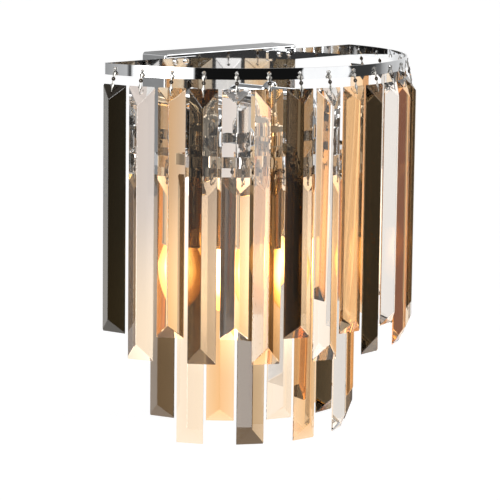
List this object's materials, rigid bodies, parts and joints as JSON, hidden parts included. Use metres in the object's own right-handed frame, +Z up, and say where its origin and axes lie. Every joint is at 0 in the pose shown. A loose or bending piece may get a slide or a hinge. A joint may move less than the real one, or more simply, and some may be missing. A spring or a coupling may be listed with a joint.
{
  "type": "crystal wall sconce",
  "caption": "Half-round tiered wall light: hanging three-sided glass bars in smoke, clear and amber on chromed bands around downward candle lamps.",
  "frame": {"origin": "middle of the wall bracket's back, on the wall plane", "axes": "+Y into the wall, -Y into the room, +Z up, +X to the right seen from the room"},
  "size_m": [0.315, 0.1784, 0.3156],
  "materials": {
    "mirror_chrome": "polished chrome plate",
    "clip_wire": "bright plated wire",
    "zinc_steel": "zinc plated",
    "black_rubber": "moulded",
    "white_nylon": "moulded",
    "brass": "turned",
    "cap_metal": "nickel plated",
    "lit_glass": "warm frosted",
    "smoke_glass": "polished smoke",
    "clear_glass": "polished clear",
    "amber_glass": "polished amber"
  },
  "bodies": {
    "wall_frame": {"back_plate": "mirror_chrome", "wall_bracket": "zinc_steel", "cable_grommet": "black_rubber", "terminal_block": "white_nylon", "earth_screw": "brass", "plate_fixing_screws": "mirror_chrome", "upper_band": "mirror_chrome", "lower_band": "mirror_chrome", "band_screws": "mirror_chrome", "band_nuts": "zinc_steel", "arm_collars": "mirror_chrome", "arm_nuts": "zinc_steel", "sleeve_discs": "mirror_chrome", "lamp_nipples": "zinc_steel", "lamp_leads": "white_nylon", "upper_clips": "clip_wire", "lower_clips": "clip_wire", "lamp_arm_left": "mirror_chrome", "lamp_cup_left": "mirror_chrome", "candle_sleeve_left": "mirror_chrome", "lampholder_left": "white_nylon", "lamp_arm_right": "mirror_chrome", "lamp_cup_right": "mirror_chrome", "candle_sleeve_right": "mirror_chrome", "lampholder_right": "white_nylon"},
    "bulb_left": {"bulb_cap_left": "cap_metal", "bulb_glass_left": "lit_glass"},
    "bulb_right": {"bulb_cap_right": "cap_metal", "bulb_glass_right": "lit_glass"},
    "upper_crystal_01": {"upper_crystal_01": "smoke_glass"},
    "upper_crystal_02": {"upper_crystal_02": "clear_glass"},
    "upper_crystal_03": {"upper_crystal_03": "amber_glass"},
    "upper_crystal_04": {"upper_crystal_04": "smoke_glass"},
    "upper_crystal_05": {"upper_crystal_05": "clear_glass"},
    "upper_crystal_06": {"upper_crystal_06": "amber_glass"},
    "upper_crystal_07": {"upper_crystal_07": "smoke_glass"},
    "upper_crystal_08": {"upper_crystal_08": "clear_glass"},
    "upper_crystal_09": {"upper_crystal_09": "amber_glass"},
    "upper_crystal_10": {"upper_crystal_10": "smoke_glass"},
    "upper_crystal_11": {"upper_crystal_11": "clear_glass"},
    "upper_crystal_12": {"upper_crystal_12": "amber_glass"},
    "upper_crystal_13": {"upper_crystal_13": "smoke_glass"},
    "upper_crystal_14": {"upper_crystal_14": "clear_glass"},
    "upper_crystal_15": {"upper_crystal_15": "amber_glass"},
    "upper_crystal_16": {"upper_crystal_16": "smoke_glass"},
    "upper_crystal_17": {"upper_crystal_17": "clear_glass"},
    "upper_crystal_18": {"upper_crystal_18": "amber_glass"},
    "lower_crystal_01": {"lower_crystal_01": "smoke_glass"},
    "lower_crystal_02": {"lower_crystal_02": "clear_glass"},
    "lower_crystal_03": {"lower_crystal_03": "amber_glass"},
    "lower_crystal_04": {"lower_crystal_04": "smoke_glass"},
    "lower_crystal_05": {"lower_crystal_05": "clear_glass"},
    "lower_crystal_06": {"lower_crystal_06": "amber_glass"},
    "lower_crystal_07": {"lower_crystal_07": "smoke_glass"},
    "lower_crystal_08": {"lower_crystal_08": "clear_glass"},
    "lower_crystal_09": {"lower_crystal_09": "amber_glass"},
    "lower_crystal_10": {"lower_crystal_10": "smoke_glass"},
    "lower_crystal_11": {"lower_crystal_11": "clear_glass"},
    "lower_crystal_12": {"lower_crystal_12": "amber_glass"}
  },
  "joints": [
    {"name": "bulb_left_removal", "type": "slide", "parent": "wall_frame", "child": "bulb_left", "axis": [0, 0, -1], "range_m": [0, 0.026]},
    {"name": "bulb_right_removal", "type": "slide", "parent": "wall_frame", "child": "bulb_right", "axis": [0, 0, -1], "range_m": [0, 0.026]},
    {"name": "upper_crystal_01_swing", "type": "hinge", "parent": "wall_frame", "child": "upper_crystal_01", "pos_m": [-0.15173, -0.03876, 0.0344], "axis": [-0.1201, 0.9928, 0], "range_deg": [-2.5, 15]},
    {"name": "upper_crystal_02_swing", "type": "hinge", "parent": "wall_frame", "child": "upper_crystal_02", "pos_m": [-0.1464, -0.06426, 0.0344], "axis": [-0.287, 0.9579, 0], "range_deg": [-2.5, 15]},
    {"name": "upper_crystal_03_swing", "type": "hinge", "parent": "wall_frame", "child": "upper_crystal_03", "pos_m": [-0.13684, -0.08848, 0.0344], "axis": [-0.4455, 0.8953, 0], "range_deg": [-2.5, 15]},
    {"name": "upper_crystal_04_swing", "type": "hinge", "parent": "wall_frame", "child": "upper_crystal_04", "pos_m": [-0.12328, -0.11072, 0.0344], "axis": [-0.591, 0.8067, 0], "range_deg": [-2.5, 15]},
    {"name": "upper_crystal_05_swing", "type": "hinge", "parent": "wall_frame", "child": "upper_crystal_05", "pos_m": [-0.10616, -0.13035, 0.0344], "axis": [-0.7194, 0.6946, 0], "range_deg": [-2.5, 15]},
    {"name": "upper_crystal_06_swing", "type": "hinge", "parent": "wall_frame", "child": "upper_crystal_06", "pos_m": [-0.08594, -0.14677, 0.0344], "axis": [-0.8269, 0.5623, 0], "range_deg": [-2.5, 15]},
    {"name": "upper_crystal_07_swing", "type": "hinge", "parent": "wall_frame", "child": "upper_crystal_07", "pos_m": [-0.06324, -0.15954, 0.0344], "axis": [-0.9104, 0.4138, 0], "range_deg": [-2.5, 15]},
    {"name": "upper_crystal_08_swing", "type": "hinge", "parent": "wall_frame", "child": "upper_crystal_08", "pos_m": [-0.03869, -0.16825, 0.0344], "axis": [-0.9674, 0.2532, 0], "range_deg": [-2.5, 15]},
    {"name": "upper_crystal_09_swing", "type": "hinge", "parent": "wall_frame", "child": "upper_crystal_09", "pos_m": [-0.01302, -0.17268, 0.0344], "axis": [-0.9964, 0.0852, 0], "range_deg": [-2.5, 15]},
    {"name": "upper_crystal_10_swing", "type": "hinge", "parent": "wall_frame", "child": "upper_crystal_10", "pos_m": [0.01302, -0.17267, 0.0344], "axis": [-0.9964, -0.0852, 0], "range_deg": [-2.5, 15]},
    {"name": "upper_crystal_11_swing", "type": "hinge", "parent": "wall_frame", "child": "upper_crystal_11", "pos_m": [0.03869, -0.16826, 0.0344], "axis": [-0.9674, -0.2532, 0], "range_deg": [-2.5, 15]},
    {"name": "upper_crystal_12_swing", "type": "hinge", "parent": "wall_frame", "child": "upper_crystal_12", "pos_m": [0.06323, -0.15953, 0.0344], "axis": [-0.9104, -0.4138, 0], "range_deg": [-2.5, 15]},
    {"name": "upper_crystal_13_swing", "type": "hinge", "parent": "wall_frame", "child": "upper_crystal_13", "pos_m": [0.08595, -0.14678, 0.0344], "axis": [-0.8269, -0.5623, 0], "range_deg": [-2.5, 15]},
    {"name": "upper_crystal_14_swing", "type": "hinge", "parent": "wall_frame", "child": "upper_crystal_14", "pos_m": [0.10615, -0.13035, 0.0344], "axis": [-0.7194, -0.6946, 0], "range_deg": [-2.5, 15]},
    {"name": "upper_crystal_15_swing", "type": "hinge", "parent": "wall_frame", "child": "upper_crystal_15", "pos_m": [0.12329, -0.11073, 0.0344], "axis": [-0.591, -0.8067, 0], "range_deg": [-2.5, 15]},
    {"name": "upper_crystal_16_swing", "type": "hinge", "parent": "wall_frame", "child": "upper_crystal_16", "pos_m": [0.13683, -0.08848, 0.0344], "axis": [-0.4455, -0.8953, 0], "range_deg": [-2.5, 15]},
    {"name": "upper_crystal_17_swing", "type": "hinge", "parent": "wall_frame", "child": "upper_crystal_17", "pos_m": [0.14641, -0.06426, 0.0344], "axis": [-0.287, -0.9579, 0], "range_deg": [-2.5, 15]},
    {"name": "upper_crystal_18_swing", "type": "hinge", "parent": "wall_frame", "child": "upper_crystal_18", "pos_m": [0.15172, -0.03876, 0.0344], "axis": [-0.1201, -0.9928, 0], "range_deg": [-2.5, 15]},
    {"name": "lower_crystal_01_swing", "type": "hinge", "parent": "wall_frame", "child": "lower_crystal_01", "pos_m": [-0.1019, -0.04505, -0.0416], "axis": [-0.2351, 0.972, 0], "range_deg": [-2, 12]},
    {"name": "lower_crystal_02_swing", "type": "hinge", "parent": "wall_frame", "child": "lower_crystal_02", "pos_m": [-0.09299, -0.06879, -0.0416], "axis": [-0.4616, 0.8871, 0], "range_deg": [-2, 12]},
    {"name": "lower_crystal_03_swing", "type": "hinge", "parent": "wall_frame", "child": "lower_crystal_03", "pos_m": [-0.07866, -0.08971, -0.0416], "axis": [-0.6611, 0.7503, 0], "range_deg": [-2, 12]},
    {"name": "lower_crystal_04_swing", "type": "hinge", "parent": "wall_frame", "child": "lower_crystal_04", "pos_m": [-0.05972, -0.10655, -0.0416], "axis": [-0.8219, 0.5697, 0], "range_deg": [-2, 12]},
    {"name": "lower_crystal_05_swing", "type": "hinge", "parent": "wall_frame", "child": "lower_crystal_05", "pos_m": [-0.03729, -0.11838, -0.0416], "axis": [-0.9346, 0.3557, 0], "range_deg": [-2, 12]},
    {"name": "lower_crystal_06_swing", "type": "hinge", "parent": "wall_frame", "child": "lower_crystal_06", "pos_m": [-0.01268, -0.12446, -0.0416], "axis": [-0.9927, 0.1209, 0], "range_deg": [-2, 12]},
    {"name": "lower_crystal_07_swing", "type": "hinge", "parent": "wall_frame", "child": "lower_crystal_07", "pos_m": [0.01268, -0.12447, -0.0416], "axis": [-0.9927, -0.1209, 0], "range_deg": [-2, 12]},
    {"name": "lower_crystal_08_swing", "type": "hinge", "parent": "wall_frame", "child": "lower_crystal_08", "pos_m": [0.03729, -0.11837, -0.0416], "axis": [-0.9346, -0.3557, 0], "range_deg": [-2, 12]},
    {"name": "lower_crystal_09_swing", "type": "hinge", "parent": "wall_frame", "child": "lower_crystal_09", "pos_m": [0.05972, -0.10656, -0.0416], "axis": [-0.8219, -0.5697, 0], "range_deg": [-2, 12]},
    {"name": "lower_crystal_10_swing", "type": "hinge", "parent": "wall_frame", "child": "lower_crystal_10", "pos_m": [0.07865, -0.0897, -0.0416], "axis": [-0.6611, -0.7503, 0], "range_deg": [-2, 12]},
    {"name": "lower_crystal_11_swing", "type": "hinge", "parent": "wall_frame", "child": "lower_crystal_11", "pos_m": [0.093, -0.06879, -0.0416], "axis": [-0.4616, -0.8871, 0], "range_deg": [-2, 12]},
    {"name": "lower_crystal_12_swing", "type": "hinge", "parent": "wall_frame", "child": "lower_crystal_12", "pos_m": [0.10189, -0.04505, -0.0416], "axis": [-0.2351, -0.972, 0], "range_deg": [-2, 12]}
  ]
}
